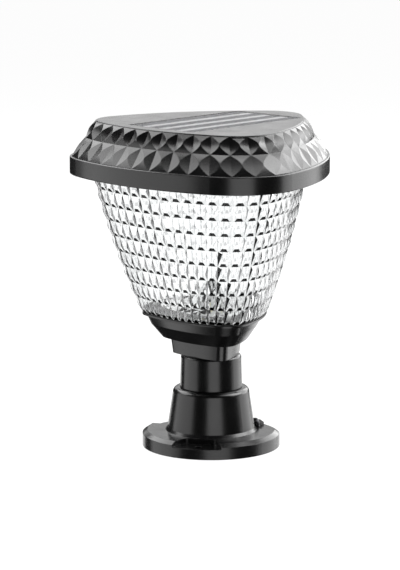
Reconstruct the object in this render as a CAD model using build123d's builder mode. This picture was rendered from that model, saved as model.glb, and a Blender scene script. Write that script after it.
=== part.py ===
from build123d import *
import math
import os

# Solar pillar light. A faceted cap with a solar panel sits over a clear prism lens, all of a
# rounded-triangle outline, on a post that turns in a round bolt-down base.
# Millimetres, +Z up, origin on the ground under the base's centre, one corner towards +Y.

# The triangle of the head: three corners, the first towards +Y
corner_count = 3
corner_angle = 90.0

# Base: bolt-down flange, hollow cone and post socket
flange_r = 55.0
flange_wall_h = 9.7
flange_h = 12.4
flange_bevel_w = 4.0
foot_step = 1.6
foot_rise = 2.4
cone_draft_w = 4.2
base_h = 47.3
shoulder_r = 4.4
shoulder_land_w = 2.75
base_wall = 3.0
socket_floor_t = 6.0
notch_count = 3
notch_angle = 60.0
notch_floor_z = 8.0
notch_back_w = 24.0
notch_mouth_w = 44.0
notch_corner_r = 3.0
mount_circle_r = 46.0
mount_hole_r = 2.75

# Lock screw that holds the post in its socket
lock_z = 13.6
lock_r = 2.0
lock_head_r = 5.0
lock_head_h = 3.4
lock_head_round = 2.6
lock_boss_r = 4.5
lock_slot_w = 1.4
lock_slot_d = 1.2

# Post
spigot_r = 23.5
post_foot_r = 24.9
post_head_r = 24.1
post_top_z = 74.0
post_wall = 3.0
post_edge_r = 2.6

# Lower housing: neck block, cone and collar band under the lens
neck_foot_reach = 31.2
neck_top_reach = 33.0
neck_corner_r = 6.4
neck_bow = 88.0
neck_h = 12.9
neck_floor_t = 4.0
collar_foot_reach = 39.5
collar_break_reach = 49.0
collar_top_reach = 52.6
collar_cone_h = 10.5
collar_band_h = 7.6
lip_reach = 56.0
lip_h = 1.5
housing_wall = 3.0
collar_corner_share = 0.30
collar_bow_share = 1.80

# Lens: a clear shell with an inward floor ring and an inward top ring
lens_foot_step = 0.3
lens_top_step = 17.3
lens_mid_share = 0.595
lens_h = 120.7
lens_wall = 2.4
lens_floor_t = 2.5
lens_floor_w = 17.7
lens_ring_t = 2.5
lens_ring_w = 14.0
lens_corner_share = 0.343
lens_bow_share = 1.40

# Rim, cap and top plate share the arc centres of one outline
cap_corner_c = 64.0
cap_bow = 128.0
rim_reach = 114.0
rim_h = 14.2
rim_wall = 2.6
rim_edge_r = 1.2
rim_top_edge_r = 1.1
web_t = 2.5
cap_foot_step = 1.5
cap_low_row_w = 11.0
cap_high_row_w = 9.7
cap_low_row_h = 14.7
cap_high_row_h = 11.1
cap_wall = 5.0
cap_roof_t = 3.0
facet_count = 36
facet_low_rise = 1.1
facet_high_rise = 2.1
plate_step = 1.3
plate_t = 2.5
plate_edge_r = 0.7

# Seals
seal_t = 1.0
seal_w = 3.0
seal_set_back = 0.8

# Solar panel
panel_w = 68.0
panel_tip_border_w = 2.4
panel_foot_border_w = 9.3
panel_gap = 0.25
panel_board_t = 1.2
cell_count = 4
cell_gap_w = 8.0
cell_border_w = 1.0
cell_end_border_w = 1.5
cell_t = 0.4
ribbon_w = 6.4
panel_hole_r = 4.0

# Screws
screw_r = 1.45
screw_head_r = 3.0
screw_head_h = 2.0
screw_head_round = 0.8
recess_l = 3.0
recess_w = 0.8
recess_d = 1.1
thread_gap = 0.05
clearance_gap = 0.25
boss_wall = 2.4
post_screw_circle_r = 13.0
post_screw_bite = 7.0
lens_screw_step = 10.7
lens_screw_bite = 7.0
tray_screw_step = 9.7
tray_screw_bite = 6.0
cap_screw_step = 9.5
cap_screw_bite = 8.0

# LED board under the web, and the white reflectors
led_board_r = 38.0
board_t = 1.6
led_stand_h = 4.0
led_stand_circle_r = 24.0
led_stand_bite = 3.2
led_inner_count = 8
led_inner_circle_r = 15.0
led_outer_count = 16
led_outer_circle_r = 32.0
led_w = 2.8
led_l = 3.5
led_t = 0.8
reflector_step = 2.7
reflector_t = 0.8
dish_lap_w = 3.0
dish_t = 1.0
dish_cone_r = 20.0
dish_tip_r = 3.0
dish_cone_h = 20.0

# Battery, held in a tray under a strap
cell_body_r = 9.1
cell_body_l = 65.0
cell_tip_r = 2.8
cell_tip_h = 0.8
cell_body_gap = 0.3
battery_count = 2
battery_y = -24.0
tray_wall = 1.8
tray_floor_t = 2.0
tray_h = 12.0
strap_w = 14.0
strap_t = 1.0
strap_foot_l = 9.0

# Controller board and what is soldered to it
control_w = 56.0
control_l = 30.0
control_y = 38.0
control_stand_h = 4.0
control_stand_inset = 4.0
control_stand_bite = 3.0
plug_w = 8.0
plug_l = 6.0
plug_h = 6.0
plug_pitch = 15.0
plug_inset = 5.0
chip_w = 7.0
chip_h = 1.8
coil_r = 4.0
coil_h = 4.5
can_r = 3.2
can_h = 8.0
part_pitch = 15.0
part_inset = 10.0

# Leads
lead_r = 0.8
lead_spread = 1.6
lead_bend_r = 3.5
lead_hole_r = 3.6
panel_lead_step = 8.0
battery_lead_step = 8.0
led_lead_reach = 13.0

# Push switch on the underside of the rim, at the back
switch_angle = 150.0
switch_w = 6.0
switch_room = 0.8
switch_h = 3.6
switch_well_d = 2.6
button_r = 3.3
button_h = 3.2
button_round = 1.2
button_stem_r = 1.5
button_travel = 1.2
button_stop_gap = 0.4
button_side_gap = 1.5

# Fits
turn_gap = 0.05
seat_gap = 0.3
slide_gap = 0.06

# Base radii worked out from the post's spigot outwards
socket_r = spigot_r + turn_gap
socket_wall_r = socket_r + base_wall
cone_top_r = socket_r + shoulder_land_w + shoulder_r
cone_foot_r = cone_top_r + cone_draft_w
foot_r = cone_foot_r + foot_step

# Levels worked out from the sizes above
post_foot_z = base_h + seat_gap
spigot_foot_z = socket_floor_t + seat_gap
neck_top_z = post_top_z + neck_h
collar_break_z = neck_top_z + collar_cone_h
lip_z = collar_break_z + collar_band_h
housing_top_z = lip_z + lip_h
lens_foot_z = housing_top_z + seal_t
lens_mid_z = lens_foot_z + lens_h / 2
lens_top_z = lens_foot_z + lens_h
web_foot_z = lens_top_z + seal_t
web_top_z = web_foot_z + web_t
rim_foot_z = web_top_z - rim_h
cap_mid_z = web_top_z + cap_low_row_h
cap_top_z = cap_mid_z + cap_high_row_h
cap_roof_z = cap_top_z - cap_roof_t
plate_top_z = cap_top_z + plate_t
cell_z = cap_top_z + panel_board_t
cover_z = cell_z + cell_t
led_board_top_z = web_foot_z - led_stand_h
led_board_foot_z = led_board_top_z - board_t
control_z = web_top_z + control_stand_h
control_top_z = control_z + board_t
plug_top_z = control_top_z + plug_h
dish_z = lens_foot_z + lens_floor_t

# Reaches worked out from the rim's and the lip's
lens_foot_reach = lip_reach - lens_foot_step
lens_top_reach = rim_reach - lens_top_step
lens_mid_reach = lens_foot_reach + lens_mid_share * (lens_top_reach - lens_foot_reach)
cap_foot_reach = rim_reach - cap_foot_step
cap_mid_reach = cap_foot_reach - cap_low_row_w
cap_top_reach = cap_mid_reach - cap_high_row_w
plate_reach = cap_top_reach + plate_step
lens_screw_circle_r = lens_foot_reach - lens_screw_step
tray_screw_circle_r = lens_top_reach - tray_screw_step
cap_screw_circle_r = cap_foot_reach - cap_screw_step
reflector_reach = lens_top_reach - lens_ring_w - reflector_step
dish_reach = lens_foot_reach - lens_floor_w + dish_lap_w

# Screw holes and bosses
thread_r = screw_r + thread_gap
clearance_r = screw_r + clearance_gap
boss_r = thread_r + boss_wall
hole_spare = 0.8

MIDDLE_UP = (Align.CENTER, Align.CENTER, Align.MIN)
MIDDLE_DOWN = (Align.CENTER, Align.CENTER, Align.MAX)


def outline_arcs(reach, corner_r, bow):
    """The six arcs of a rounded triangle, counter-clockwise from the +Y corner.

    Each is a centre, a radius, and the first and last angle in degrees. reach is from the middle
    to a corner's tip, and bow is how far each side's arc has its centre past the middle.
    """
    half_step = 180 / corner_count
    corner_c = reach - corner_r
    across = corner_c * math.sin(math.radians(half_step))
    along = bow + corner_c * math.cos(math.radians(half_step))
    side_r = corner_r + math.hypot(along, across)
    half_side = math.degrees(math.atan2(across, along))
    half_corner = half_step - half_side
    arcs = []
    for corner in range(corner_count):
        angle = corner_angle + 2 * half_step * corner
        side_angle = angle + half_step
        corner_centre = Vector(corner_c, 0).rotate(Axis.Z, angle)
        side_centre = Vector(-bow, 0).rotate(Axis.Z, side_angle)
        arcs.append((corner_centre, corner_r, angle - half_corner, angle + half_corner))
        arcs.append((side_centre, side_r, side_angle - half_side, side_angle + half_side))
    return arcs


def arc_point(arc, share):
    """The point a share of the way along one arc of an outline."""
    centre, radius, first, last = arc
    return centre + Vector(radius, 0).rotate(Axis.Z, first + (last - first) * share)


def outline_point(arcs, share):
    """The point a share of the way round an outline, from the tip of its +Y corner."""
    lengths = [radius * math.radians(last - first) for _, radius, first, last in arcs]
    run = share * sum(lengths) + lengths[0] / 2
    for arc, length in zip(arcs + arcs[:1], lengths + lengths[:1]):
        if run <= length:
            return arc_point(arc, run / length)
        run -= length


class RoundedTriangle(BaseSketchObject):
    """A triangle with round corners and bowed sides, one corner towards +Y."""

    def __init__(self, reach, corner_r, bow, rotation=0, mode=Mode.ADD):
        with BuildSketch() as outline:
            with BuildLine():
                for arc in outline_arcs(reach, corner_r, bow):
                    ThreePointArc(arc_point(arc, 0), arc_point(arc, 0.5), arc_point(arc, 1))
            make_face()
        super().__init__(outline.sketch, rotation, None, mode)


class NeckOutline(RoundedTriangle):
    """Outline of the neck block."""

    def __init__(self, reach, mode=Mode.ADD):
        super().__init__(reach, neck_corner_r, neck_bow, mode=mode)


class CollarOutline(RoundedTriangle):
    """Outline of the housing's cone and band."""

    def __init__(self, reach, mode=Mode.ADD):
        super().__init__(reach, reach * collar_corner_share, reach * collar_bow_share, mode=mode)


class LensOutline(RoundedTriangle):
    """Outline of the lens at any height."""

    def __init__(self, reach, mode=Mode.ADD):
        super().__init__(reach, reach * lens_corner_share, reach * lens_bow_share, mode=mode)


class CapOutline(RoundedTriangle):
    """Outline of the rim, the cap and the top plate, grown from the same arc centres."""

    def __init__(self, reach, mode=Mode.ADD):
        super().__init__(reach, reach - cap_corner_c, cap_bow, mode=mode)


class NotchOutline(BaseSketchObject):
    """Outline of a bolting notch along +X, open past the flange, with its inner corners rounded."""

    def __init__(self, rotation=0, mode=Mode.ADD):
        with BuildSketch() as notch:
            Polygon(
                (foot_r, -notch_back_w / 2),
                (flange_r, -notch_mouth_w / 2),
                (flange_r + base_wall, -notch_mouth_w / 2),
                (flange_r + base_wall, notch_mouth_w / 2),
                (flange_r, notch_mouth_w / 2),
                (foot_r, notch_back_w / 2),
                align=None,
            )
            fillet(notch.vertices().group_by(Axis.X)[0], notch_corner_r)
        super().__init__(notch.sketch, rotation, None, mode)


class PanScrew(BasePartObject):
    """A pan-head screw with a cross recess, its head's seat at z = 0 and its shank along -Z."""

    def __init__(self, shank_l, rotation=(0, 0, 0), mode=Mode.ADD):
        with BuildPart() as screw:
            Cylinder(screw_head_r, screw_head_h, align=MIDDLE_UP)
            fillet(screw.edges().group_by(Axis.Z)[-1], screw_head_round)
            with Locations((0, 0, screw_head_h - recess_d)):
                Box(recess_l, recess_w, recess_d, align=MIDDLE_UP, mode=Mode.SUBTRACT)
                Box(recess_w, recess_l, recess_d, align=MIDDLE_UP, mode=Mode.SUBTRACT)
            Cylinder(screw_r, shank_l, align=MIDDLE_DOWN)
        super().__init__(screw.part, rotation, None, mode)


def lens_reach(z):
    """Reach of the lens's outside at a height, on the curve through its foot, middle and top."""
    t = (z - lens_foot_z) / lens_h
    foot = lens_foot_reach * (1 - t) * (1 - 2 * t)
    middle = lens_mid_reach * 4 * t * (1 - t)
    return foot + middle + lens_top_reach * t * (2 * t - 1)


def facet_solid(levels, rises, count):
    """A closed solid whose sides are rows of four-sided pyramids between levels of (reach, z)."""
    rings = []
    for reach, z in levels:
        arcs = outline_arcs(reach, reach - cap_corner_c, cap_bow)
        rings.append([outline_point(arcs, i / count) + Vector(0, 0, z) for i in range(count)])
    corners = [rings[0], rings[-1]]
    for low, high, rise in zip(rings, rings[1:], rises):
        for i in range(count):
            ring = [low[i], low[(i + 1) % count], high[(i + 1) % count], high[i]]
            middle = (ring[0] + ring[1] + ring[2] + ring[3]) / 4
            outward = (ring[2] - ring[0]).cross(ring[3] - ring[1]).normalized()
            tip = middle + outward * rise
            corners += [[ring[k], ring[(k + 1) % 4], tip] for k in range(4)]
    return Solid(Shell([Face(Wire.make_polygon(points)) for points in corners]))


# Base: revolved flange, cone and socket, with bolting notches and a hollow underside
cone_top_z = base_h - shoulder_r
foot_top_z = flange_h + foot_rise
lock_plane = Plane(
    origin=Vector(foot_r, 0, lock_z).rotate(Axis.Z, notch_angle),
    x_dir=Vector(0, 1, 0).rotate(Axis.Z, notch_angle),
    z_dir=Vector(1, 0, 0).rotate(Axis.Z, notch_angle),
)
lock_tip = foot_r - spigot_r - seat_gap

with BuildPart() as base_hollow:
    with BuildSketch(Plane.XZ):
        with BuildLine():
            Polyline(
                (socket_wall_r, 0),
                (foot_r - base_wall, 0),
                (foot_r - base_wall, flange_h),
                (cone_foot_r - base_wall, foot_top_z),
                (cone_top_r - base_wall, cone_top_z - base_wall),
                (socket_wall_r, cone_top_z - base_wall),
                close=True,
            )
        make_face()
    revolve(axis=Axis.Z)
    with BuildSketch(lock_plane):
        Circle(lock_boss_r)
    extrude(amount=-foot_r, mode=Mode.SUBTRACT)

with BuildPart() as base_flange:
    with BuildSketch(Plane.XZ):
        with BuildLine():
            Polyline(
                (cone_top_r - shoulder_r, base_h),
                (socket_r, base_h),
                (socket_r, socket_floor_t),
                (0, socket_floor_t),
                (0, 0),
                (flange_r, 0),
                (flange_r, flange_wall_h),
                (flange_r - flange_bevel_w, flange_h),
                (foot_r, flange_h),
                (cone_foot_r, foot_top_z),
                (cone_top_r, cone_top_z),
            )
            RadiusArc((cone_top_r, cone_top_z), (cone_top_r - shoulder_r, base_h), -shoulder_r)
        make_face()
    revolve(axis=Axis.Z)
    with BuildSketch(Plane.XY.offset(notch_floor_z)):
        with PolarLocations(0, notch_count, notch_angle):
            NotchOutline()
    extrude(amount=flange_h - notch_floor_z, mode=Mode.SUBTRACT)
    with BuildSketch():
        with PolarLocations(mount_circle_r, notch_count, notch_angle):
            Circle(mount_hole_r)
    extrude(amount=notch_floor_z, mode=Mode.SUBTRACT)
    add(base_hollow.part, mode=Mode.SUBTRACT)
    with BuildSketch(lock_plane):
        Circle(lock_r + slide_gap)
    extrude(amount=-(foot_r - socket_r / 2), mode=Mode.SUBTRACT)

# Lock screw: domed slotted head in the notch, shank through the boss to the post
with BuildPart(lock_plane) as lock_screw:
    with Locations((0, 0, seat_gap)):
        Cylinder(lock_head_r, lock_head_h, align=MIDDLE_UP)
    fillet(lock_screw.edges().sort_by(Axis(lock_plane.origin, lock_plane.z_dir))[-1], lock_head_round)
    with Locations((0, 0, seat_gap + lock_head_h - lock_slot_d)):
        Box(2 * lock_head_r, lock_slot_w, lock_slot_d, align=MIDDLE_UP, mode=Mode.SUBTRACT)
    with Locations((0, 0, seat_gap)):
        Cylinder(lock_r, lock_tip + seat_gap, align=MIDDLE_DOWN)

# Post: a spigot in the socket, and a drafted tube with a closed top
with BuildPart() as post_tube:
    with BuildSketch(Plane.XZ):
        with BuildLine():
            Polyline(
                (spigot_r - post_wall, spigot_foot_z),
                (spigot_r, spigot_foot_z),
                (spigot_r, post_foot_z),
                (post_foot_r, post_foot_z),
                (post_head_r, post_top_z),
                (0, post_top_z),
                (0, post_top_z - post_wall),
                (post_head_r - post_wall, post_top_z - post_wall),
                (spigot_r - post_wall, post_foot_z),
                close=True,
            )
        make_face()
    revolve(axis=Axis.Z)
    fillet(post_tube.edges().filter_by(GeomType.CIRCLE).group_by(Axis.Z)[-1], post_edge_r)
    with BuildSketch(Plane.XY.offset(post_top_z)):
        with PolarLocations(post_screw_circle_r, corner_count, corner_angle):
            Circle(clearance_r)
    extrude(amount=-post_wall, mode=Mode.SUBTRACT)

with BuildPart(Plane.XY.offset(post_top_z - post_wall)) as post_screws:
    with PolarLocations(post_screw_circle_r, corner_count, corner_angle):
        PanScrew(post_wall + post_screw_bite, rotation=(180, 0, 0))

# Lower housing: the hollow leaves bosses for the post screws and the lens screws
neck_floor_z = post_top_z + neck_floor_t
collar_floor_z = neck_top_z + housing_wall
collar_slope = (collar_break_reach - collar_foot_reach) / collar_cone_h
collar_floor_reach = collar_foot_reach + collar_slope * housing_wall
collar_levels = [
    (collar_foot_reach, neck_top_z),
    (collar_break_reach, collar_break_z),
    (collar_top_reach, lip_z),
]

with BuildPart() as housing_hollow:
    with BuildSketch(Plane.XY.offset(neck_floor_z)):
        NeckOutline(neck_foot_reach - housing_wall)
    extrude(amount=collar_floor_z - neck_floor_z)
    for reach, z in [
        (collar_floor_reach, collar_floor_z),
        (collar_break_reach, collar_break_z),
        (collar_top_reach, housing_top_z),
    ]:
        with BuildSketch(Plane.XY.offset(z)):
            CollarOutline(reach - housing_wall)
    loft(ruled=True)
    with PolarLocations(post_screw_circle_r, corner_count, corner_angle):
        with Locations((0, 0, neck_floor_z)):
            Cylinder(boss_r, post_screw_bite, align=MIDDLE_UP, mode=Mode.SUBTRACT)
    with PolarLocations(lens_screw_circle_r, corner_count, corner_angle):
        with Locations((0, 0, collar_floor_z)):
            boss_h = housing_top_z - collar_floor_z
            Cylinder(boss_r, boss_h, align=MIDDLE_UP, mode=Mode.SUBTRACT)

with BuildPart() as lower_housing:
    for reach, z in [(neck_foot_reach, post_top_z), (neck_top_reach, neck_top_z)]:
        with BuildSketch(Plane.XY.offset(z)):
            NeckOutline(reach)
    loft(ruled=True)
    for reach, z in collar_levels:
        with BuildSketch(Plane.XY.offset(z)):
            CollarOutline(reach)
    loft(ruled=True)
    with BuildSketch(Plane.XY.offset(lip_z)):
        LensOutline(lip_reach)
    extrude(amount=lip_h)
    add(housing_hollow.part, mode=Mode.SUBTRACT)
    with BuildSketch(Plane.XY.offset(post_top_z)):
        with PolarLocations(post_screw_circle_r, corner_count, corner_angle):
            Circle(thread_r)
    extrude(amount=post_screw_bite + hole_spare, mode=Mode.SUBTRACT)
    with BuildSketch(Plane.XY.offset(housing_top_z)):
        with PolarLocations(lens_screw_circle_r, corner_count, corner_angle):
            Circle(thread_r)
    extrude(amount=-(lens_screw_bite + hole_spare), mode=Mode.SUBTRACT)

# Seal between the housing and the lens
with BuildPart() as lens_foot_seal:
    with BuildSketch(Plane.XY.offset(housing_top_z)):
        LensOutline(lens_foot_reach - seal_set_back)
        LensOutline(lens_foot_reach - lens_floor_w, mode=Mode.SUBTRACT)
        with PolarLocations(lens_screw_circle_r, corner_count, corner_angle):
            Circle(clearance_r, mode=Mode.SUBTRACT)
    extrude(amount=seal_t)

# Lens: hollow shell, floor ring for the lens screws, top ring with bosses for the tray screws
ring_foot_z = lens_top_z - lens_ring_t

with BuildPart() as lens_hollow:
    for z in (dish_z, lens_mid_z, ring_foot_z):
        with BuildSketch(Plane.XY.offset(z)):
            LensOutline(lens_reach(z) - lens_wall)
    loft()
    with PolarLocations(tray_screw_circle_r, corner_count, corner_angle):
        with Locations((0, 0, ring_foot_z)):
            Cylinder(boss_r, tray_screw_bite, align=MIDDLE_DOWN, mode=Mode.SUBTRACT)

with BuildPart() as prism_lens:
    for z in (lens_foot_z, lens_mid_z, lens_top_z):
        with BuildSketch(Plane.XY.offset(z)):
            LensOutline(lens_reach(z))
    loft()
    add(lens_hollow.part, mode=Mode.SUBTRACT)
    with BuildSketch(Plane.XY.offset(lens_foot_z)):
        LensOutline(lens_foot_reach - lens_floor_w)
        with PolarLocations(lens_screw_circle_r, corner_count, corner_angle):
            Circle(clearance_r)
    extrude(amount=lens_floor_t, mode=Mode.SUBTRACT)
    with BuildSketch(Plane.XY.offset(lens_top_z)):
        LensOutline(lens_top_reach - lens_ring_w)
    extrude(amount=-lens_ring_t, mode=Mode.SUBTRACT)
    with BuildSketch(Plane.XY.offset(lens_top_z)):
        with PolarLocations(tray_screw_circle_r, corner_count, corner_angle):
            Circle(thread_r)
    extrude(amount=-(lens_ring_t + tray_screw_bite - hole_spare), mode=Mode.SUBTRACT)

with BuildPart(Plane.XY.offset(dish_z)) as lens_screws:
    with PolarLocations(lens_screw_circle_r, corner_count, corner_angle):
        PanScrew(lens_floor_t + seal_t + lens_screw_bite)

# White dish on the lens floor, with a cone that spreads the light
with BuildPart() as bottom_reflector:
    with BuildSketch(Plane.XY.offset(dish_z)):
        LensOutline(dish_reach)
    extrude(amount=dish_t)
    with Locations((0, 0, dish_z + dish_t)):
        Cone(dish_cone_r, dish_tip_r, dish_cone_h, align=MIDDLE_UP)

# Seal between the lens and the tray
with BuildPart() as lens_top_seal:
    with BuildSketch(Plane.XY.offset(lens_top_z)):
        LensOutline(lens_top_reach - seal_set_back)
        LensOutline(lens_top_reach - lens_ring_w, mode=Mode.SUBTRACT)
        with PolarLocations(tray_screw_circle_r, corner_count, corner_angle):
            Circle(clearance_r, mode=Mode.SUBTRACT)
    extrude(amount=seal_t)

# Rim tray: upright band and a web that carries the boards, the battery and the switch
lens_top_arcs = outline_arcs(
    lens_top_reach, lens_top_reach * lens_corner_share, lens_top_reach * lens_bow_share
)
lens_top_side_r = arc_point(lens_top_arcs[1], 0.5).length
switch_circle_r = lens_top_side_r + button_side_gap + button_r
switch_spot = Vector(switch_circle_r, 0).rotate(Axis.Z, switch_angle)
led_hole_spot = Vector(plug_pitch, control_y - control_l / 2 + plug_inset - plug_l / 2 - led_lead_reach)
control_grid_w = control_w - 2 * control_stand_inset
control_grid_l = control_l - 2 * control_stand_inset
tray_inner_w = 2 * battery_count * (cell_body_r + cell_body_gap)
strap_span = tray_inner_w + 2 * tray_wall
strap_foot_y = strap_span / 2 + cell_body_gap + strap_foot_l / 2

with BuildPart() as rim_tray:
    with BuildSketch(Plane.XY.offset(rim_foot_z)):
        CapOutline(rim_reach)
    extrude(amount=rim_h)
    fillet(rim_tray.edges().group_by(Axis.Z)[0], rim_edge_r)
    fillet(rim_tray.edges().group_by(Axis.Z)[-1], rim_top_edge_r)
    with BuildSketch(Plane.XY.offset(rim_foot_z)):
        CapOutline(rim_reach - rim_wall)
    extrude(amount=rim_h - web_t, mode=Mode.SUBTRACT)
    with BuildSketch(Plane.XY.offset(web_foot_z)):
        with PolarLocations(led_stand_circle_r, corner_count, corner_angle):
            Circle(boss_r)
    extrude(amount=-led_stand_h)
    with BuildSketch(Plane.XY.offset(web_top_z)):
        with Locations((0, control_y)):
            with GridLocations(control_grid_w, control_grid_l, 2, 2):
                Circle(boss_r)
    extrude(amount=control_stand_h)
    with BuildSketch(Plane.XY.offset(web_foot_z)):
        with PolarLocations(cap_screw_circle_r, corner_count, corner_angle):
            Circle(clearance_r)
        with PolarLocations(tray_screw_circle_r, corner_count, corner_angle):
            Circle(clearance_r)
        with Locations((0, battery_y)):
            with GridLocations(0, 2 * strap_foot_y, 1, 2):
                Circle(thread_r)
        with Locations(led_hole_spot):
            Circle(lead_hole_r)
        with Locations(switch_spot):
            Circle(button_stem_r + slide_gap)
    extrude(amount=web_t, mode=Mode.SUBTRACT)
    with BuildSketch(Plane.XY.offset(led_board_top_z)):
        with PolarLocations(led_stand_circle_r, corner_count, corner_angle):
            Circle(thread_r)
    extrude(amount=led_stand_bite + hole_spare, mode=Mode.SUBTRACT)
    with BuildSketch(Plane.XY.offset(control_z)):
        with Locations((0, control_y)):
            with GridLocations(control_grid_w, control_grid_l, 2, 2):
                Circle(thread_r)
    extrude(amount=-(control_stand_bite + hole_spare), mode=Mode.SUBTRACT)

with BuildPart(Plane.XY.offset(web_top_z)) as tray_screws:
    with PolarLocations(tray_screw_circle_r, corner_count, corner_angle):
        PanScrew(web_t + seal_t + lens_ring_t + tray_screw_bite - 2 * hole_spare)

# LED board, its LEDs and screws, and the white sheet round it
with BuildPart() as led_board:
    with BuildSketch(Plane.XY.offset(led_board_foot_z)):
        Circle(led_board_r)
        with PolarLocations(led_stand_circle_r, corner_count, corner_angle):
            Circle(clearance_r, mode=Mode.SUBTRACT)
    extrude(amount=board_t)

with BuildPart(Plane.XY.offset(led_board_foot_z)) as leds:
    with PolarLocations(led_inner_circle_r, led_inner_count):
        Box(led_w, led_l, led_t, align=MIDDLE_DOWN)
    with PolarLocations(led_outer_circle_r, led_outer_count):
        Box(led_w, led_l, led_t, align=MIDDLE_DOWN)

with BuildPart(Plane.XY.offset(led_board_foot_z)) as led_board_screws:
    with PolarLocations(led_stand_circle_r, corner_count, corner_angle):
        PanScrew(board_t + led_stand_bite, rotation=(180, 0, 0))

with BuildPart() as top_reflector:
    with BuildSketch(Plane.XY.offset(web_foot_z)):
        LensOutline(reflector_reach)
        Circle(led_board_r, mode=Mode.SUBTRACT)
    extrude(amount=-reflector_t)

# Battery: two cells side by side along X in an open tray, under a strap
tray_inner_l = cell_body_l + cell_tip_h + 2 * cell_body_gap
battery_z = web_top_z + tray_floor_t + cell_body_gap + cell_body_r
strap_z = battery_z + cell_body_r + cell_body_gap
cell_spacing = 2 * (cell_body_r + cell_body_gap)

with BuildPart(Plane((0, battery_y, web_top_z))) as battery_tray:
    Box(tray_inner_l + 2 * tray_wall, tray_inner_w + 2 * tray_wall, tray_h, align=MIDDLE_UP)
    with Locations((0, 0, tray_floor_t)):
        Box(tray_inner_l, tray_inner_w, tray_h, align=MIDDLE_UP, mode=Mode.SUBTRACT)

cell_end_x = -tray_inner_l / 2 + cell_body_gap
with BuildPart(Plane(origin=(cell_end_x, battery_y, battery_z), z_dir=(1, 0, 0))) as battery_cells:
    with GridLocations(0, cell_spacing, 1, battery_count):
        Cylinder(cell_body_r, cell_body_l, align=MIDDLE_UP)
        with Locations((0, 0, cell_body_l)):
            Cylinder(cell_tip_r, cell_tip_h, align=MIDDLE_UP)

strap_in = strap_span / 2 + cell_body_gap
strap_out = strap_in + strap_t
strap_foot_out = strap_in + strap_foot_l

with BuildPart() as battery_strap:
    with BuildSketch(Plane((0, battery_y, 0), x_dir=(0, 1, 0), z_dir=(1, 0, 0))):
        with BuildLine():
            Polyline(
                (-strap_foot_out, web_top_z),
                (-strap_in, web_top_z),
                (-strap_in, strap_z),
                (strap_in, strap_z),
                (strap_in, web_top_z),
                (strap_foot_out, web_top_z),
                (strap_foot_out, web_top_z + strap_t),
                (strap_out, web_top_z + strap_t),
                (strap_out, strap_z + strap_t),
                (-strap_out, strap_z + strap_t),
                (-strap_out, web_top_z + strap_t),
                (-strap_foot_out, web_top_z + strap_t),
                close=True,
            )
        make_face()
    extrude(amount=strap_w / 2, both=True)
    with BuildSketch(Plane.XY.offset(web_top_z)):
        with Locations((0, battery_y)):
            with GridLocations(0, 2 * strap_foot_y, 1, 2):
                Circle(clearance_r)
    extrude(amount=strap_t, mode=Mode.SUBTRACT)

with BuildPart(Plane((0, battery_y, web_top_z + strap_t))) as strap_screws:
    with GridLocations(0, 2 * strap_foot_y, 1, 2):
        PanScrew(strap_t + web_t)

# Controller board, its screws and its parts
plug_y = control_y - control_l / 2 + plug_inset
part_y = control_y + control_l / 2 - part_inset

with BuildPart() as controller_board:
    with BuildSketch(Plane((0, control_y, control_z))):
        Rectangle(control_w, control_l)
        with GridLocations(control_grid_w, control_grid_l, 2, 2):
            Circle(clearance_r, mode=Mode.SUBTRACT)
    extrude(amount=board_t)

with BuildPart(Plane((0, control_y, control_top_z))) as controller_screws:
    with GridLocations(control_grid_w, control_grid_l, 2, 2):
        PanScrew(board_t + control_stand_bite)

with BuildPart(Plane((0, plug_y, control_top_z))) as lead_plugs:
    with GridLocations(plug_pitch, 0, 3, 1):
        Box(plug_w, plug_l, plug_h, align=MIDDLE_UP)

with BuildPart(Plane((0, part_y, control_top_z))) as controller_parts:
    Box(chip_w, chip_w, chip_h, align=MIDDLE_UP)
    with Locations((-part_pitch, 0, 0)):
        Cylinder(coil_r, coil_h, align=MIDDLE_UP)
    with Locations((part_pitch, 0, 0)):
        Cylinder(can_r, can_h, align=MIDDLE_UP)

# Leads: panel to controller, controller to battery, controller to LED board
plug_front_y = plug_y - plug_l / 2
plug_mid_z = control_top_z + plug_h / 2
tray_back_y = battery_y + tray_inner_w / 2 + tray_wall
panel_lead_y = plug_y - panel_lead_step
panel_turn_z = (plug_top_z + cap_top_z) / 2

with BuildPart() as panel_leads:
    for x in (-lead_spread, lead_spread):
        with BuildLine() as route:
            FilletPolyline(
                (x, plug_y, plug_top_z),
                (x, plug_y, panel_turn_z),
                (x, panel_lead_y, panel_turn_z),
                (x, panel_lead_y, cap_top_z),
                radius=lead_bend_r,
            )
        with BuildSketch(Plane(route.line @ 0, z_dir=route.line % 0)):
            Circle(lead_r)
        sweep()

battery_turn_y = (plug_front_y + tray_back_y) / 2
battery_lead_z = min(plug_mid_z, web_top_z + tray_h - 2 * lead_r)

with BuildPart() as battery_leads:
    for x in (-plug_pitch - lead_spread, -plug_pitch + lead_spread):
        with BuildLine() as route:
            FilletPolyline(
                (x, plug_front_y, battery_lead_z),
                (x, battery_turn_y + battery_lead_step / 2, battery_lead_z),
                (x - battery_lead_step, battery_turn_y - battery_lead_step / 2, battery_lead_z),
                (x - battery_lead_step, tray_back_y, battery_lead_z),
                radius=lead_bend_r,
            )
        with BuildSketch(Plane(route.line @ 0, z_dir=route.line % 0)):
            Circle(lead_r)
        sweep()

with BuildPart() as led_leads:
    for x in (plug_pitch - lead_spread, plug_pitch + lead_spread):
        with BuildLine() as route:
            FilletPolyline(
                (x, plug_front_y, plug_mid_z),
                (x, led_hole_spot.Y, plug_mid_z),
                (x, led_hole_spot.Y, led_board_top_z),
                radius=lead_bend_r,
            )
        with BuildSketch(Plane(route.line @ 0, z_dir=route.line % 0)):
            Circle(lead_r)
        sweep()

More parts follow.
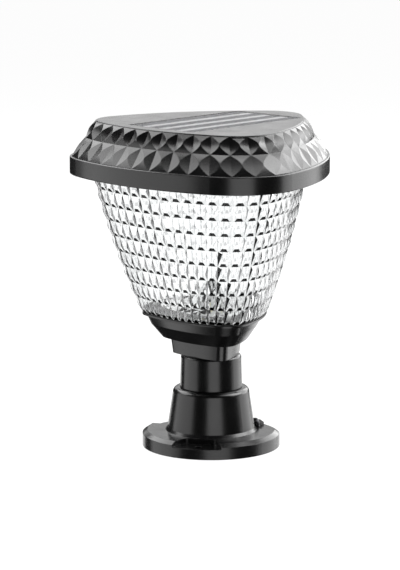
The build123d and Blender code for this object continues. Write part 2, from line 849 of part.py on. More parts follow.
# Push switch: a body on the web, and a button under it whose stem goes up through the web
switch_plane = Plane(switch_spot + Vector(0, 0, web_top_z)).rotated((0, 0, switch_angle))
button_z = web_foot_z - button_travel - button_stop_gap
stem_l = web_t + switch_well_d

with BuildPart(switch_plane) as switch_body:
    Box(switch_w, switch_w, switch_h, align=MIDDLE_UP)
    Cylinder(button_stem_r + seat_gap, switch_well_d, align=MIDDLE_UP, mode=Mode.SUBTRACT)

with BuildPart(Plane(switch_spot + Vector(0, 0, button_z))) as switch_button:
    Cylinder(button_r, button_h, align=MIDDLE_DOWN)
    fillet(switch_button.edges().group_by(Axis.Z)[0], button_round)
    Cylinder(button_stem_r, stem_l, align=MIDDLE_UP)

# Cap: two rows of pyramids outside, hollow inside with bosses for the cap screws
cap_land_reach = cap_foot_reach - cap_wall
with BuildPart() as cap_hollow:
    for reach, z in [
        (cap_foot_reach, web_top_z),
        (cap_mid_reach, cap_mid_z),
        (cap_top_reach, cap_roof_z),
    ]:
        with BuildSketch(Plane.XY.offset(z)):
            CapOutline(reach - cap_wall)
    loft(ruled=True)
    with PolarLocations(cap_screw_circle_r, corner_count, corner_angle):
        with Locations((0, 0, web_top_z)):
            Cylinder(boss_r, cap_roof_z - web_top_z, align=MIDDLE_UP, mode=Mode.SUBTRACT)
    with Locations(switch_plane):
        room_w = switch_w + 2 * switch_room
        Box(room_w, room_w, switch_h + switch_room, align=MIDDLE_UP)

with BuildPart() as faceted_cap:
    levels = [(cap_foot_reach, web_top_z), (cap_mid_reach, cap_mid_z), (cap_top_reach, cap_top_z)]
    add(facet_solid(levels, (facet_low_rise, facet_high_rise), facet_count))
    add(cap_hollow.part, mode=Mode.SUBTRACT)
    with BuildSketch(Plane.XY.offset(web_top_z)):
        CapOutline(cap_land_reach + seal_w)
        CapOutline(cap_land_reach, mode=Mode.SUBTRACT)
        with PolarLocations(cap_screw_circle_r, corner_count, corner_angle):
            Circle(boss_r, mode=Mode.SUBTRACT)
    extrude(amount=seal_t, mode=Mode.SUBTRACT)
    with BuildSketch(Plane.XY.offset(web_top_z)):
        with PolarLocations(cap_screw_circle_r, corner_count, corner_angle):
            Circle(thread_r)
    extrude(amount=cap_screw_bite + hole_spare, mode=Mode.SUBTRACT)
    with BuildSketch(Plane.XY.offset(cap_roof_z)):
        with Locations((0, panel_lead_y)):
            Circle(panel_hole_r)
    extrude(amount=cap_roof_t, mode=Mode.SUBTRACT)

with BuildPart() as cap_seal:
    with BuildSketch(Plane.XY.offset(web_top_z)):
        CapOutline(cap_land_reach + seal_w)
        CapOutline(cap_land_reach, mode=Mode.SUBTRACT)
        with PolarLocations(cap_screw_circle_r, corner_count, corner_angle):
            Circle(boss_r, mode=Mode.SUBTRACT)
    extrude(amount=seal_t)

with BuildPart(Plane.XY.offset(web_foot_z)) as cap_screws:
    with PolarLocations(cap_screw_circle_r, corner_count, corner_angle):
        PanScrew(web_t + cap_screw_bite, rotation=(180, 0, 0))

# Top plate with its window, and the solar panel that fills it. The panel ends a border's width
# from the plate's sides.
plate_arcs = outline_arcs(plate_reach, plate_reach - cap_corner_c, cap_bow)
plate_side_r = plate_arcs[1][1]
side_centre = plate_arcs[1][0]
tip_r = plate_side_r - panel_tip_border_w
foot_panel_r = plate_side_r - panel_foot_border_w
panel_tip_y = side_centre.Y + math.sqrt(tip_r**2 - (panel_w / 2 + side_centre.X) ** 2)
panel_foot_y = cap_bow - math.sqrt(foot_panel_r**2 - (panel_w / 2) ** 2)
panel_l = panel_tip_y - panel_foot_y
panel_y = (panel_tip_y + panel_foot_y) / 2
cell_w = (panel_w - 2 * cell_border_w - (cell_count - 1) * cell_gap_w) / cell_count
cell_pitch = cell_w + cell_gap_w
cell_l = panel_l - 2 * cell_end_border_w

with BuildPart() as top_plate:
    with BuildSketch(Plane.XY.offset(cap_top_z)):
        CapOutline(plate_reach)
    extrude(amount=plate_t)
    fillet(top_plate.edges().group_by(Axis.Z)[-1], plate_edge_r)
    with BuildSketch(Plane((0, panel_y, cap_top_z))):
        Rectangle(panel_w + 2 * panel_gap, panel_l + 2 * panel_gap)
    extrude(amount=plate_t, mode=Mode.SUBTRACT)

with BuildPart(Plane((0, panel_y, cap_top_z))) as panel_board:
    Box(panel_w, panel_l, panel_board_t, align=MIDDLE_UP)

with BuildPart(Plane((0, panel_y, cell_z))) as solar_cells:
    with GridLocations(cell_pitch, 0, cell_count, 1):
        Box(cell_w, cell_l, cell_t, align=MIDDLE_UP)

with BuildPart(Plane((0, panel_y, cell_z))) as cell_ribbons:
    with GridLocations(cell_pitch, 0, cell_count - 1, 1):
        Box(ribbon_w, cell_l, cell_t, align=MIDDLE_UP)

with BuildPart(Plane((0, panel_y, cover_z))) as panel_cover:
    Box(panel_w, panel_l, plate_top_z - cover_z, align=MIDDLE_UP)

pieces = {
    "base_flange": base_flange,
    "lock_screw": lock_screw,
    "post_tube": post_tube,
    "post_screws": post_screws,
    "lower_housing": lower_housing,
    "lens_foot_seal": lens_foot_seal,
    "prism_lens": prism_lens,
    "lens_screws": lens_screws,
    "bottom_reflector": bottom_reflector,
    "lens_top_seal": lens_top_seal,
    "rim_tray": rim_tray,
    "tray_screws": tray_screws,
    "led_board": led_board,
    "leds": leds,
    "led_board_screws": led_board_screws,
    "top_reflector": top_reflector,
    "battery_tray": battery_tray,
    "battery_cells": battery_cells,
    "battery_strap": battery_strap,
    "strap_screws": strap_screws,
    "controller_board": controller_board,
    "controller_screws": controller_screws,
    "lead_plugs": lead_plugs,
    "controller_parts": controller_parts,
    "panel_leads": panel_leads,
    "battery_leads": battery_leads,
    "led_leads": led_leads,
    "switch_body": switch_body,
    "switch_button": switch_button,
    "faceted_cap": faceted_cap,
    "cap_seal": cap_seal,
    "cap_screws": cap_screws,
    "top_plate": top_plate,
    "panel_board": panel_board,
    "solar_cells": solar_cells,
    "cell_ribbons": cell_ribbons,
    "panel_cover": panel_cover,
}

os.makedirs("parts", exist_ok=True)
for name, piece in pieces.items():
    piece.part.label = name
    export_step(piece.part, f"parts/{name}.step")
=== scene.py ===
"""Looks of the solar pillar light: finishes for all parts, the prism lens, the faceted cap and the studio."""

import logging
import math
import random
from dataclasses import dataclass, field
from enum import Enum, IntEnum

import bmesh
import bpy
from mathutils import Matrix, Vector


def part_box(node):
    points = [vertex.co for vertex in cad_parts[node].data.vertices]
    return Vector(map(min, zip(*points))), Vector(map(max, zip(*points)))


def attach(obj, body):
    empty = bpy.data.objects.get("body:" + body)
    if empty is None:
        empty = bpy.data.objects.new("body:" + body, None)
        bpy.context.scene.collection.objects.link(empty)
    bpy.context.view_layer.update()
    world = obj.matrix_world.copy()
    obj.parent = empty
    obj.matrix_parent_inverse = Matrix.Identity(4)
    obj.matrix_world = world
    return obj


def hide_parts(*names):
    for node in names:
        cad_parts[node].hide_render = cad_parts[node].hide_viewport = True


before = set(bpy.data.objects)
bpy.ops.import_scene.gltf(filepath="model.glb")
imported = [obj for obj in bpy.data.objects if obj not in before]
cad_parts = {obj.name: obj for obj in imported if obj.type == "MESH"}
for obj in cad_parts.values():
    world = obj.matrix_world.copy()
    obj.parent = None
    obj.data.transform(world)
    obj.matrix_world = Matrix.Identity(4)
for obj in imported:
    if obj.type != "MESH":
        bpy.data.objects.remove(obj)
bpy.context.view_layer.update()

LOG = logging.getLogger("pillar_light")

Colour = tuple[float, float, float]
Socket = bpy.types.NodeSocket
Feed = Socket | float | tuple | None
Material = bpy.types.Material
Piece = bpy.types.Object
Loop = list[bmesh.types.BMVert]

HEAD = "head"
LENS_CORNER_SHARE = 0.343
LENS_BOW_SHARE = 1.4
MASK_STEP = 0.5
EDGE_DOTS = (0.93, 0.995)
BEVEL_SAMPLES = 4
MIX_A = 6
MIX_B = 7
MIX_OUT = 2


class Grain(Enum):
    """How a finish's grain runs: even in all directions, or drawn out along one axis."""

    EVEN = (1.0, 1.0, 1.0)
    ALONG_X = (0.04, 1.0, 1.0)
    ALONG_Y = (1.0, 0.04, 1.0)


class Axis(Enum):
    """Axes of the object, as a vector's parts are counted."""

    X = 0
    Y = 1
    Z = 2


class PrismFace(IntEnum):
    """Faces of a lens prism, as the lens's material slots are counted; all but the clear one carry painted
    shade.
    """

    CLEAR = 0
    FOOT = 1
    GROOVE = 2
    FLUTE = 3


class FacetFace(IntEnum):
    """Faces of a cap facet, each a patch with sharp edges."""

    LEFT = 1
    FOOT = 2
    HEAD = 3
    RIGHT = 4


def grey(level: float) -> Colour:
    """Gives a grey by its level."""
    return (level, level, level)


def lit(colour: Colour, gain: float) -> Colour:
    """Gives a colour made lighter or darker, white at most."""
    return tuple(min(1.0, part * gain) for part in colour)


def polar(radius: float, turn: float) -> Vector:
    """Gives a level vector by its length and angle."""
    return Vector((radius * math.cos(turn), radius * math.sin(turn), 0.0))


def upright(z: float) -> Vector:
    """Gives an upright vector by its length."""
    return Vector((0.0, 0.0, z))


def aimed(place: Vector, back: Vector) -> Matrix:
    """Gives the stand of a camera or light at a place, with its back along a direction."""
    return Matrix.Translation(place) @ back.to_track_quat("Z", "Y").to_matrix().to_4x4()


def add_object(name: str, data: bpy.types.ID) -> bpy.types.Object:
    """Adds an object to the scene.

    Args:
        name: Its name.
        data: Its mesh, light or camera.

    Returns:
        The object.
    """
    made = bpy.data.objects.new(name, data)
    bpy.context.scene.collection.objects.link(made)
    return made


class ShaderGraph:
    """A new material with short calls that add and join its nodes."""

    def __init__(self, name: str) -> None:
        """Makes the material and its main shader.

        Args:
            name: Name of the material.
        """
        self.material = bpy.data.materials.new(name)
        self.material.use_nodes = True
        self.nodes = self.material.node_tree.nodes
        self.links = self.material.node_tree.links
        self.surface = self.nodes["Principled BSDF"]
        self.place = self.nodes.new("ShaderNodeTexCoord").outputs["Object"]

    def fix(self, values: dict[str, float | tuple]) -> None:
        """Sets sockets of the main shader, by name, to what is the same all over."""
        for name, value in values.items():
            self.surface.inputs[name].default_value = value

    def feed(self, name: str, source: Socket) -> None:
        """Joins a socket to an input of the main shader."""
        self.links.new(source, self.surface.inputs[name])

    def step(self, kind: str, out: str | int, feeds: dict[str | int, Feed], **settings: str | int) -> Socket:
        """Adds a node.

        Args:
            kind: Kind of node, without the start that all shader nodes' names share.
            out: Output that is wanted, by name or number.
            feeds: What its inputs get, by name or number: a socket, a fixed value, or None for no change.
            settings: Settings of the node itself.

        Returns:
            The output.
        """
        node = self.nodes.new("ShaderNode" + kind)
        for name, value in settings.items():
            setattr(node, name, value)
        for name, value in feeds.items():
            if isinstance(value, Socket):
                self.links.new(value, node.inputs[name])
            elif value is not None:
                node.inputs[name].default_value = value
        return node.outputs[out]

    def geometry(self, name: str) -> Socket:
        """Gives a value of the surface itself, such as its normal."""
        return self.step("NewGeometry", name, {})

    def stretched(self, grain: Grain) -> Socket:
        """Gives the object's coordinates, drawn out along the grain."""
        feeds = {0: self.place, 1: grain.value}
        return self.place if grain is Grain.EVEN else self.step("VectorMath", 0, feeds, operation="MULTIPLY")

    def noise(self, size: float, detail: float = 2.0, grain: Grain = Grain.EVEN) -> Socket:
        """Adds soft noise from 0 to 1, by its blotches' size in metres, its finer layers and its grain."""
        feeds = {"Vector": self.stretched(grain), "Scale": 1.0 / size, "Detail": detail}
        return self.step("TexNoise", "Fac", feeds)

    def pebbles(self, size: float) -> Socket:
        """Adds rounded cells of a size in metres, and gives the distance to the middle of the nearest one."""
        return self.step("TexVoronoi", "Distance", {"Vector": self.place, "Scale": 1.0 / size})

    def part(self, vector: Socket, axis: Axis) -> Socket:
        """Gives the part of a vector that lies along an axis."""
        return self.step("SeparateXYZ", axis.value, {0: vector})

    def sum_up(self, operation: str, first: Socket, second: Socket | float) -> Socket:
        """Adds a step of arithmetic on two numbers, named as the Math node has it."""
        return self.step("Math", 0, {0: first, 1: second}, operation=operation)

    def lines(self, axis: Axis, pitch: float, width: float) -> Socket:
        """Gives 1 on thin lines and 0 off them, counted along an axis, by pitch and width in metres."""
        share = self.sum_up("FRACT", self.sum_up("MULTIPLY", self.part(self.place, axis), 1.0 / pitch), 0.0)
        return self.sum_up("LESS_THAN", share, width / pitch)

    def span(self, source: Socket, low: float, high: float, start: float = 0.3, end: float = 0.7) -> Socket:
        """Spreads a pattern between two numbers, which it has at its start value and at its end value."""
        feeds = {"Value": source, "From Min": start, "From Max": end, "To Min": low, "To Max": high}
        return self.step("MapRange", "Result", feeds)

    def blend(self, share: Socket, low: Colour | Socket, high: Colour | Socket) -> Socket:
        """Mixes two colours, by the share of the second one."""
        first, second = ((*colour, 1.0) if isinstance(colour, tuple) else colour for colour in (low, high))
        return self.step("Mix", MIX_OUT, {"Factor": share, MIX_A: first, MIX_B: second}, data_type="RGBA")

    def rounded(self, radius: float) -> Socket:
        """Gives a normal that rounds sharp edges off, by a radius in metres."""
        return self.step("Bevel", "Normal", {"Radius": radius}, samples=BEVEL_SAMPLES)

    def edge_share(self, soft: Socket) -> Socket:
        """Gives 0 on flat faces, rising to 1 on edges, where a rounded normal leaves the true one."""
        dot = self.step("VectorMath", "Value", {0: soft, 1: self.geometry("Normal")}, operation="DOT_PRODUCT")
        return self.span(dot, 1.0, 0.0, *EDGE_DOTS)

    def bumped(self, height: Socket, depth: float, normal: Socket | None = None) -> Socket:
        """Adds relief, by its pattern and its depth in metres, to the surface's own normal or a given one."""
        feeds = {"Height": height, "Strength": 1.0, "Distance": depth, "Normal": normal}
        return self.step("Bump", "Normal", feeds)


@dataclass(frozen=True)
class Finish:
    """A solid finish with varied colour, varied gloss and fine relief."""

    name: str
    dark: Colour
    light: Colour
    rough: tuple[float, float]
    grain_size: float = 0.0006
    grain_depth: float = 4e-6
    grain: Grain = Grain.EVEN
    blotch_size: float = 0.02
    metallic: float = 0.0
    ior: float = 1.5
    edge_r: float = 0.0
    # Edge colour, laid on in noisy patches along rounded edges: partly wear, partly a painted highlight.
    edge_colour: Colour | None = None
    wear_and_highlight_size: float = 0.004
    coat: float = 0.0
    coat_rough: float = 0.12
    gloss_size: float = 0.6
    gloss_shares: tuple[float, float] = (0.7, 0.3)
    gloss_range: tuple[float, float] = (0.35, 0.65)

    def pattern(self, graph: ShaderGraph) -> Socket:
        """Gives the share of the light colour: soft blotches."""
        return graph.span(graph.noise(self.blotch_size, 4.0, self.grain), 0.0, 1.0)

    def colour(self, graph: ShaderGraph) -> Socket:
        """Gives the colour with its pattern."""
        return graph.blend(self.pattern(graph), self.dark, self.light)

    def gloss(self, graph: ShaderGraph, fine: Socket) -> Socket:
        """Gives a roughness that follows wide blotches and the fine grain.

        Args:
            graph: The material.
            fine: The fine grain.

        Returns:
            The roughness.
        """
        wide = graph.noise(self.blotch_size * self.gloss_size, 5.0, self.grain)
        shares = zip((wide, fine), self.gloss_shares)
        parts = [graph.sum_up("MULTIPLY", pattern, share) for pattern, share in shares]
        return graph.span(graph.sum_up("ADD", *parts), *self.rough, *self.gloss_range)

    def material(self) -> Material:
        """Makes the material.

        Returns:
            The material.
        """
        graph = ShaderGraph(self.name)
        graph.fix({"Metallic": self.metallic, "IOR": self.ior})
        graph.fix({"Coat Weight": self.coat, "Coat Roughness": self.coat_rough})
        colour = self.colour(graph)
        normal = graph.rounded(self.edge_r) if self.edge_r else None
        # Edges painted lighter in noisy patches: partly wear, partly a painted highlight along the rounded
        # edges.
        if normal is not None and self.edge_colour is not None:
            wear_and_highlight = graph.sum_up("MULTIPLY", graph.edge_share(normal), graph.noise(self.wear_and_highlight_size, 4.0))
            colour = graph.blend(wear_and_highlight, colour, self.edge_colour)
        graph.feed("Base Color", colour)
        fine = graph.noise(self.grain_size, 3.0, self.grain)
        graph.feed("Roughness", self.gloss(graph, fine))
        graph.feed("Normal", graph.bumped(fine, self.grain_depth, normal))
        return graph.material


@dataclass(frozen=True)
class CrystalFinish:
    """Clear moulded acrylic: see-through, with faint flow waves."""

    name: str
    tint: Colour
    roughness: float
    ior: float = 1.36
    wave_size: float = 0.009
    wave_depth: float = 4e-6
    wave_gain: float = 1.04
    haze_size: float = 0.004

    def colour(self, graph: ShaderGraph, wave: Socket) -> Socket:
        """Gives the tint, a little lighter along the flow waves."""
        return graph.blend(wave, self.tint, lit(self.tint, self.wave_gain))

    def material(self) -> Material:
        """Makes the material.

        Returns:
            The material.
        """
        graph = ShaderGraph(self.name)
        graph.fix({"Transmission Weight": 1.0, "IOR": self.ior})
        wave = graph.noise(self.wave_size)
        haze = graph.noise(self.haze_size, 4.0)
        graph.feed("Base Color", self.colour(graph, wave))
        graph.feed("Roughness", graph.span(haze, self.roughness, self.roughness * 2.0))
        graph.feed("Normal", graph.bumped(wave, self.wave_depth))
        return graph.material


@dataclass(frozen=True)
class FacetFinish(CrystalFinish):
    """Clear acrylic on a steep facet, with painted shade where it is seen from outside, standing for the
    shadows and dark refractions of the prisms, and its tint where it is seen from inside.
    """

    shade: Colour = field(kw_only=True)

    def colour(self, graph: ShaderGraph, wave: Socket) -> Socket:
        """Gives the shade outside and the tint inside."""
        return graph.blend(graph.geometry("Backfacing"), self.shade, super().colour(graph, wave))


@dataclass(frozen=True)
class BoardFinish(Finish):
    """A circuit board: solder mask with tracks under it."""

    track_colour: Colour = (0.1, 0.3, 0.12)
    track_pitch: float = 0.0024
    track_width: float = 0.0006
    patch_size: float = 0.012

    def colour(self, graph: ShaderGraph) -> Socket:
        """Gives the mask's colour, with tracks that run along x in patches and along y in others.

        Args:
            graph: The material.

        Returns:
            The colour.
        """
        mask = super().colour(graph)
        patch = graph.sum_up("GREATER_THAN", graph.noise(self.patch_size, 1.0), MASK_STEP)
        other = graph.sum_up("LESS_THAN", patch, MASK_STEP)
        rows = graph.sum_up("MULTIPLY", graph.lines(Axis.Y, self.track_pitch, self.track_width), patch)
        columns = graph.sum_up("MULTIPLY", graph.lines(Axis.X, self.track_pitch, self.track_width), other)
        return graph.blend(graph.sum_up("ADD", rows, columns), mask, self.track_colour)


@dataclass(frozen=True)
class CellFinish(Finish):
    """Solar silicon: dark blue crystal with fine silver fingers across it."""

    crystal_size: float = 0.006
    crystal_range: tuple[float, float] = (0.1, 0.8)
    finger_pitch: float = 0.0022
    finger_width: float = 0.00012
    finger_colour: Colour = (0.12, 0.13, 0.15)

    def pattern(self, graph: ShaderGraph) -> Socket:
        """Gives the share of the light colour: rounded crystals."""
        return graph.span(graph.pebbles(self.crystal_size), 0.0, 1.0, *self.crystal_range)

    def colour(self, graph: ShaderGraph) -> Socket:
        """Gives the crystal's colour with its fingers."""
        fingers = graph.lines(Axis.Y, self.finger_pitch, self.finger_width)
        return graph.blend(fingers, super().colour(graph), self.finger_colour)


@dataclass(frozen=True)
class LedFinish(Finish):
    """An LED: yellow phosphor on the face that looks down, white package on the sides."""

    package: Colour = (0.75, 0.75, 0.72)
    down_limit: float = -0.5

    def colour(self, graph: ShaderGraph) -> Socket:
        """Gives phosphor on downward faces and package colour elsewhere."""
        down = graph.sum_up("LESS_THAN", graph.part(graph.geometry("Normal"), Axis.Z), self.down_limit)
        return graph.blend(down, self.package, super().colour(graph))


@dataclass(frozen=True)
class LaminateFinish:
    """The panel's clear cover: low gloss, with a fine orange-peel skin."""

    name: str
    tint: Colour
    rough: tuple[float, float]
    ior: float
    cloud_size: float = 0.03
    cloud_gain: float = 0.94
    haze_size: float = 0.01
    peel_size: float = 0.0015
    peel_depth: float = 6e-6

    def material(self) -> Material:
        """Makes the material.

        Returns:
            The material.
        """
        graph = ShaderGraph(self.name)
        graph.fix({"Transmission Weight": 1.0, "IOR": self.ior})
        clouds = graph.noise(self.cloud_size, 3.0)
        graph.feed("Base Color", graph.blend(clouds, self.tint, lit(self.tint, self.cloud_gain)))
        graph.feed("Roughness", graph.span(graph.noise(self.haze_size, 5.0), *self.rough))
        graph.feed("Normal", graph.bumped(graph.noise(self.peel_size, 3.0), self.peel_depth))
        return graph.material


# The black plastic's lighter edge colour is partly wear, partly a painted highlight.
BLACK_PLASTIC = Finish("black_plastic", (0.001, 0.001, 0.0011), (0.002, 0.002, 0.0021), (0.22, 0.27),
                       0.0005, 3e-6, blotch_size=0.03, edge_r=0.0005, edge_colour=(0.012, 0.012, 0.0125))
SEAL_RUBBER = Finish("seal_rubber", grey(0.02), grey(0.04), (0.6, 0.8), 0.0008, 2e-5)
BUTTON_RUBBER = Finish("button_rubber", (0.05, 0.05, 0.052), (0.075, 0.075, 0.078), (0.5, 0.7), 0.0006, 1e-5,
                       edge_r=0.0004)
BLACK_SCREW = Finish("black_screw", (0.02, 0.02, 0.022), (0.045, 0.045, 0.048), (0.25, 0.42), 0.0004,
                     metallic=1.0, edge_r=0.0003, edge_colour=grey(0.2))
STEEL_SCREW = Finish("steel_screw", grey(0.5), (0.66, 0.66, 0.65), (0.22, 0.4), 0.0004, metallic=1.0,
                     edge_r=0.0002)
WHITE_REFLECTOR = Finish("white_reflector", grey(0.82), grey(0.9), (0.3, 0.45), 0.0008)
PLATED_DISH = Finish("plated_dish", grey(0.9), grey(0.97), (0.03, 0.06), 0.0008, 3e-6, metallic=1.0)
BOARD_WHITE = BoardFinish("board_white", (0.72, 0.73, 0.72), (0.82, 0.82, 0.81), (0.3, 0.45),
                          track_colour=(0.66, 0.68, 0.66), track_pitch=0.006, track_width=0.003)
BOARD_GREEN = BoardFinish("board_green", (0.01, 0.07, 0.025), (0.015, 0.1, 0.035), (0.25, 0.4))
LED_PHOSPHOR = LedFinish("led_phosphor", (0.8, 0.75, 0.5), (0.88, 0.84, 0.62), (0.3, 0.5), 0.0003)
TRAY_PLASTIC = Finish("tray_plastic", (0.08, 0.08, 0.085), (0.12, 0.12, 0.125), (0.4, 0.55), edge_r=0.0004)
CELL_SLEEVE = Finish("cell_sleeve", (0.02, 0.12, 0.3), (0.03, 0.17, 0.4), (0.2, 0.35), 0.0009, coat=0.4)
STRAP_STEEL = Finish("strap_steel", (0.48, 0.48, 0.47), (0.64, 0.64, 0.63), (0.25, 0.42), 0.0004, 6e-6,
                     Grain.ALONG_X, metallic=1.0)
CHIP_BLACK = Finish("chip_black", (0.012, 0.012, 0.013), (0.03, 0.03, 0.031), (0.4, 0.6), 0.0003, 6e-6)
LEAD_RED = Finish("lead_red", (0.3, 0.012, 0.01), (0.42, 0.02, 0.016), (0.3, 0.45), 0.0008, 5e-6)
PANEL_BLACK = Finish("panel_black", (0.008, 0.008, 0.01), (0.014, 0.014, 0.017), (0.4, 0.55), 0.0004, 6e-6,
                     ior=1.05)
SOLAR_SILICON = CellFinish("solar_silicon", (0.006, 0.008, 0.016), (0.011, 0.014, 0.028), (0.4, 0.55),
                           ior=1.05)
RIBBON_TIN = Finish("ribbon_tin", grey(0.66), grey(0.82), (0.28, 0.45), 0.0005, 6e-6, Grain.ALONG_Y,
                    metallic=1.0)
CLEAR_LENS = CrystalFinish("clear_lens", (0.93, 0.94, 0.94), 0.02)
# Painted shade of the prisms: black dashes on the feet, grey strokes on the groove walls and black strokes on
# the dark walls stand for the shadows and dark refractions of the prisms; their inside tints are a lighter
# painted shade seen through the lens.
PRISM_FOOT = FacetFinish("prism_foot", (0.4, 0.4, 0.41), 0.03, 1.12, shade=grey(0.001))
PRISM_GROOVE = FacetFinish("prism_groove", (0.7, 0.7, 0.71), 0.03, shade=(0.13, 0.13, 0.133))
PRISM_FLUTE = FacetFinish("prism_flute", (0.7, 0.7, 0.71), 0.03, 1.12, shade=grey(0.0006))
PANEL_RESIN = LaminateFinish("panel_resin", (0.93, 0.93, 0.94), (0.1, 0.16), 1.03)


@dataclass(frozen=True)
class Outline:
    """A triangle with rounded corners and bowed sides, seen from above, with one tip towards +y."""

    reach: float
    corner_r: float
    bow: float

    def arcs(self) -> list[tuple[Vector, float, float, float]]:
        """Lists the six arcs, anticlockwise from the start of the corner at +y.

        Returns:
            Centre, radius, start angle and sweep of each arc.
        """
        inset = self.reach - self.corner_r
        half = inset * math.sqrt(3.0) / 2.0
        side_r = self.corner_r + math.hypot(self.bow + inset / 2.0, half)
        side = math.atan2(half, self.bow + inset / 2.0)
        corner = math.pi / 3.0 - side
        found = []
        for step in range(3):
            tip = math.pi / 2.0 + step * math.tau / 3.0
            mid = tip + math.pi / 3.0
            found.append((polar(inset, tip), self.corner_r, tip - corner, 2.0 * corner))
            found.append((polar(-self.bow, mid), side_r, mid - side, 2.0 * side))
        return found

    def spot(self, share: float) -> tuple[Vector, Vector]:
        """Finds a place on the outline.

        Args:
            share: Share of the whole length, anticlockwise from the +y tip.

        Returns:
            The point and the outward direction there, both level.
        """
        arcs = self.arcs()
        total = sum(radius * sweep for _, radius, _, sweep in arcs)
        first = arcs[0][1] * arcs[0][3] / 2.0
        left = (share * total + first) % total
        for centre, radius, start, sweep in arcs:
            if left <= radius * sweep:
                turn = start + left / radius
                return centre + polar(radius, turn), polar(1.0, turn)
            left -= radius * sweep
        return self.spot(0.0)

    def points(self, shares: list[float], z: float) -> list[Vector]:
        """Lists the points at given shares of the whole length, at one height."""
        return [self.spot(share)[0] + upright(z) for share in shares]

    def ring(self, count: int, z: float) -> list[Vector]:
        """Lists evenly spaced points round the outline, at one height."""
        return self.points([step / count for step in range(count)], z)


def lens_outline(reach: float) -> Outline:
    """Gives the outline that the lens and its dish share, for a reach."""
    return Outline(reach, LENS_CORNER_SHARE * reach, LENS_BOW_SHARE * reach)


class MeshMaker:
    """Gathers points and faces and makes an object of them."""

    def __init__(self) -> None:
        """Starts an empty mesh."""
        self.mesh = bmesh.new()
        self.patch = self.mesh.faces.layers.int.new("patch")

    def point(self, place: Vector) -> bmesh.types.BMVert:
        """Adds one point."""
        return self.mesh.verts.new(place)

    def loop(self, places: list[Vector]) -> Loop:
        """Adds a list of points."""
        return [self.point(place) for place in places]

    def face(self, corners: Loop, smooth: bool = False, slot: int = 0, patch: int = 0) -> None:
        """Adds one face.

        Args:
            corners: Its corners in order.
            smooth: Whether it is shaded smooth.
            slot: Its material slot.
            patch: Number of its patch; edges between patches stay sharp.
        """
        made = self.mesh.faces.new(corners)
        made.smooth = smooth
        made.material_index = slot
        made[self.patch] = patch

    def bridge(self, lower: Loop, upper: Loop, smooth: bool) -> None:
        """Joins two closed loops of the same count by a band of faces.

        Args:
            lower: First loop.
            upper: Second loop.
            smooth: Whether the band is shaded smooth.
        """
        count = len(lower)
        for step in range(count):
            after = (step + 1) % count
            self.face([lower[step], lower[after], upper[after], upper[step]], smooth)

    def carry(self, start: Loop, rings: list[list[Vector]], smooth: bool) -> Loop:
        """Carries a closed loop on through rings of points, with a band of faces to each.

        Args:
            start: Loop to go on from.
            rings: Points of each ring, as many as the loop has.
            smooth: Whether the bands are shaded smooth.

        Returns:
            The last loop.
        """
        for ring in rings:
            after = self.loop(ring)
            self.bridge(start, after, smooth)
            start = after
        return start

    def shell(self, rings: list[list[Vector]]) -> None:
        """Adds a closed shell of flat faces through rings of points, with a face over each end.

        Args:
            rings: Points of each ring, from one end to the other.
        """
        first = self.loop(rings[0])
        self.face(first)
        self.face(self.carry(first, rings[1:], smooth=False))

    def finish(self, name: str, crease: float) -> Piece:
        """Makes the object, with faces turned outwards and edges sharp above an angle.

        Args:
            name: Name of the object.
            crease: Angle in degrees above which an edge stays sharp.

        Returns:
            The object.
        """
        bmesh.ops.recalc_face_normals(self.mesh, faces=self.mesh.faces)
        limit = math.radians(crease)
        for edge in self.mesh.edges:
            patches = {face[self.patch] for face in edge.link_faces}
            edge.smooth = len(patches) == 1 and edge.calc_face_angle(0.0) < limit
        self.mesh.faces.layers.int.remove(self.patch)
        data = bpy.data.meshes.new(name)
        self.mesh.to_mesh(data)
        self.mesh.free()
        return add_object(name, data)


class Assembly:
    """A group of parts that are dressed together."""

    def dress(self, finishes: dict[str, Material]) -> None:
        """Gives CAD parts their materials.

        Args:
            finishes: Names of the parts and their materials.
        """
        for name, material in finishes.items():
            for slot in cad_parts[name].material_slots:
                slot.material = material
            LOG.info("dressed %s with %s", name, material.name)

    def stand_in(self, piece: Piece, materials: tuple[Material, ...], node: str, slot: str) -> None:
        """Dresses a piece of the head and lets it stand for a CAD part.

        Args:
            piece: The piece.
            materials: Its materials, in the order of its slots.
            node: The part that it stands for.
            slot: Material slot of the record; not used.
        """
        for material in materials:
            piece.data.materials.append(material)
        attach(piece, HEAD)
        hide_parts(node)
        LOG.info("built %s in place of %s", piece.name, node)


@dataclass
class BaseAndPost(Assembly):
    """The bolt-down base with its lock screw, and the post."""

    plastic: Material
    screw: Material

    def build(self) -> None:
        """Dresses the base, the lock screw and the post."""
        self.dress({"base_flange": self.plastic, "post_tube": self.plastic})
        self.dress({"lock_screw": self.screw, "post_screws": self.screw})


